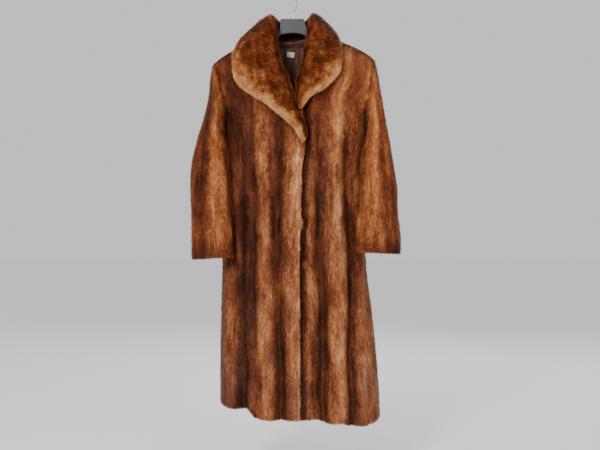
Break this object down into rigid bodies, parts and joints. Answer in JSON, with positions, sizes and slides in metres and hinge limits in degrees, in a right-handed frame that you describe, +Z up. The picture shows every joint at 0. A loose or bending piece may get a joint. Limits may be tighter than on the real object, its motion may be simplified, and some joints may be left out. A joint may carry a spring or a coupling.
{
  "type": "long fur coat on a hanger",
  "caption": "Full-length fur coat with a wide shawl collar and lapel, folds down its body and long sleeves, hanging open-necked on a broad-armed hanger.",
  "frame": {"origin": "the point inside the top of the wire hook where a rail carries the hanger", "axes": "+Z up along the hanging coat, +Y from the coat's front towards its back, +X to the right of someone who faces the front"},
  "size_m": [0.6126, 0.2075, 1.2602],
  "materials": {
    "fur": "soft glossy short pile in red and golden brown",
    "collar_fur": "dense pile, dark red-brown with golden tan edges",
    "facing_cloth": "dark red-brown short pile",
    "lining_satin": "dark brown satin",
    "label_cloth": "white woven tape",
    "hanger_plastic": "charcoal, fine-grained",
    "hook_steel": "plain drawn wire"
  },
  "bodies": {
    "root": {"right_front": "fur", "left_front": "fur", "back": "fur", "right_sleeve": "fur", "left_sleeve": "fur", "collar": "collar_fur", "neck_facing": "facing_cloth", "back_lining": "lining_satin", "size_label": "label_cloth", "hanger_body": "hanger_plastic", "hanger_hook": "hook_steel"}
  },
  "joints": []
}
